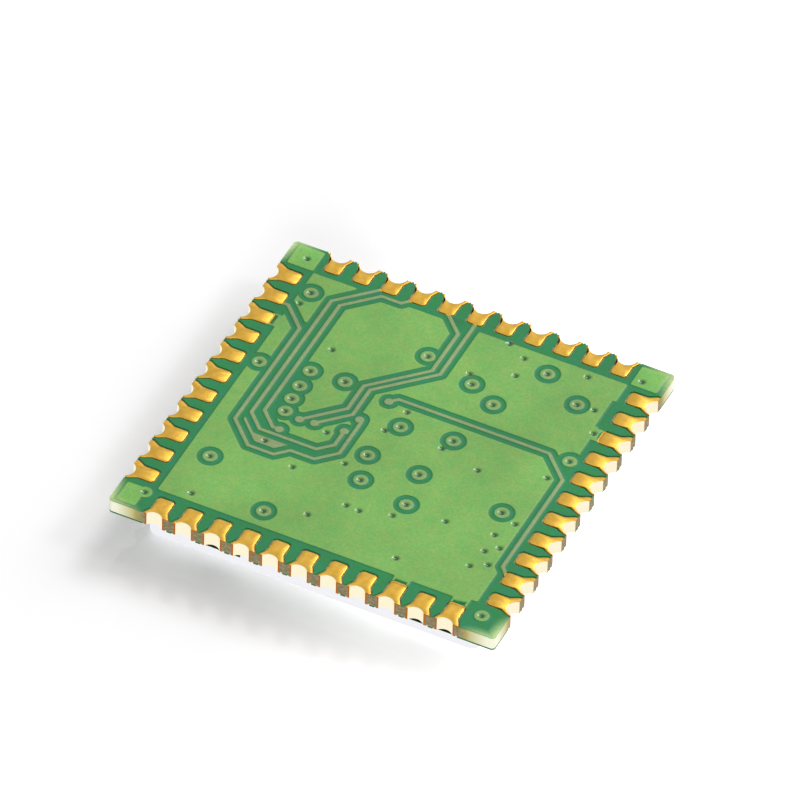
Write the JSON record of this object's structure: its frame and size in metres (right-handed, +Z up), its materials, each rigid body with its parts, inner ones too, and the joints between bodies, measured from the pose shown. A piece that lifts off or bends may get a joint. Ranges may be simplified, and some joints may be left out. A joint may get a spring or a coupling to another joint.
{
  "type": "cellular module",
  "caption": "Square surface-mount radio module with plated half-hole contacts on all edges, a routed pad side and a folded shield can",
  "frame": {"origin": "centre of the shield can's outer face, on the surface that the module lies on", "axes": "+X along the front edge towards the corner with the single ringed via, +Y towards the back edge, +Z up out of the pad side"},
  "size_m": [0.012, 0.0118, 0.0016],
  "materials": {
    "glass_laminate": "glass-epoxy laminate, cut edge",
    "copper_foil": "copper, under the mask",
    "gold_plating": "immersion gold over nickel, satin",
    "solder_mask": "green solder mask, semi-gloss",
    "tinned_steel": "tin-plated steel sheet, satin",
    "solder": "reflowed solder",
    "chip_mould": "moulded epoxy",
    "brown_ceramic": "fired ceramic",
    "pale_ceramic": "fired ceramic",
    "lid_metal": "gold-flashed iron alloy",
    "ferrite": "pressed ferrite",
    "tin_plating": "tin plating",
    "resistor_glaze": "glazed black"
  },
  "bodies": {
    "root": {"laminate_core": "glass_laminate", "pad_side_copper": "copper_foil", "pad_side_mask": "solder_mask", "component_side_copper": "copper_foil", "component_side_mask": "solder_mask", "front_contacts": "gold_plating", "right_contacts": "gold_plating", "back_contacts": "gold_plating", "left_contacts": "gold_plating", "via_barrels": "copper_foil", "shield_can": "tinned_steel", "shield_solder": "solder", "baseband_chip": "chip_mould", "baseband_balls": "solder", "memory_chip": "chip_mould", "memory_balls": "solder", "power_management_chip": "chip_mould", "power_management_balls": "solder", "transceiver_chip": "chip_mould", "transceiver_pads": "solder", "power_amplifier": "chip_mould", "power_amplifier_pads": "solder", "crystal_base": "brown_ceramic", "crystal_lid": "lid_metal", "surface_wave_filters": "pale_ceramic", "crystal_and_filter_pads": "solder", "inductor_bodies": "ferrite", "inductor_terminals": "tin_plating", "capacitor_bodies": "brown_ceramic", "capacitor_terminals": "tin_plating", "resistor_bodies": "resistor_glaze", "resistor_terminals": "tin_plating", "small_part_solder": "solder"}
  },
  "joints": []
}
